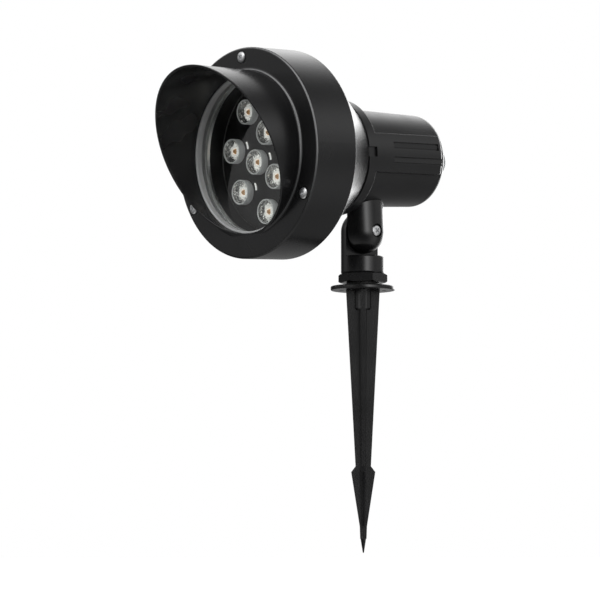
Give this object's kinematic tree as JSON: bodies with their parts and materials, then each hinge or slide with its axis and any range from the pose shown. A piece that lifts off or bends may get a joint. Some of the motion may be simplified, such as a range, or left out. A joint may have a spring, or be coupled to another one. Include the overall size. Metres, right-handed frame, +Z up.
{
  "type": "garden spike spotlight",
  "caption": "Round garden spotlight with a hooded glass front over LED lenses, on a tilting split knuckle and a turning foot above a cross-finned ground spike.",
  "frame": {"origin": "centre of the spike flange's underside, at soil level", "axes": "+Z up along the spike and the pan axis, -Y the way the lamp points at rest with its nose 3.3 degrees down, +X along the tilt axis towards the pivot screw head"},
  "size_m": [0.15, 0.2474, 0.3587],
  "materials": {
    "black_cast": "satin black powder coat on die-cast aluminium",
    "zinc_steel": "bright zinc-plated steel",
    "stainless": "turned stainless steel",
    "grey_silicone": "light grey moulded silicone",
    "clear_glass": "clear toughened glass with ground edges",
    "black_plastic": "fine spark-textured black moulding",
    "clear_acrylic": "clear moulded acrylic",
    "white_ceramic": "white LED body",
    "amber_phosphor": "amber phosphor",
    "bare_aluminium": "bare rolled sheet",
    "black_rubber": "black rubber",
    "driver_case": "grey potted driver case",
    "white_nylon": "natural nylon",
    "wire_sleeve": "red wire sleeve",
    "grey_nylon": "light grey moulded nylon",
    "spike_plastic": "dark grey moulded plastic, a little scuffed"
  },
  "bodies": {
    "spike": {"ground_spike": "spike_plastic", "foot_nut": "black_cast", "foot_washer": "black_rubber", "swivel_stud": "stainless"},
    "knuckle": {"knuckle_base": "black_cast", "pivot_screw": "stainless", "pivot_nut": "stainless", "pivot_washer": "stainless"},
    "head": {"front_bezel": "black_cast", "cone_housing": "black_cast", "knuckle_arm": "black_cast", "bezel_screws": "zinc_steel", "retainer_screws": "zinc_steel", "spreader_screws": "zinc_steel", "body_screws": "zinc_steel", "tray_screws": "zinc_steel", "arm_screws": "zinc_steel", "glass_gasket": "grey_silicone", "front_glass": "clear_glass", "glass_retainer": "zinc_steel", "baffle": "black_plastic", "lens_plate": "black_plastic", "led_lenses": "clear_acrylic", "led_packages": "white_ceramic", "led_chips": "amber_phosphor", "led_board": "bare_aluminium", "heat_spreader": "bare_aluminium", "collar_seal": "black_rubber", "rear_housing": "black_plastic", "driver_tray": "bare_aluminium", "led_driver": "driver_case", "terminal_block": "white_nylon", "lead_wires": "wire_sleeve", "gland_seal": "black_rubber", "gland_body": "grey_nylon", "gland_nut": "grey_nylon", "gland_insert": "black_rubber", "gland_locknut": "grey_nylon"}
  },
  "joints": [
    {"name": "pan", "type": "hinge", "parent": "spike", "child": "knuckle", "pos_m": [0, 0, 0.012], "axis": [0, 0, 1], "range_deg": [-175, 175]},
    {"name": "tilt", "type": "hinge", "parent": "knuckle", "child": "head", "pos_m": [0, 0, 0.043], "axis": [1, 0, 0], "range_deg": [-85, 50]}
  ]
}
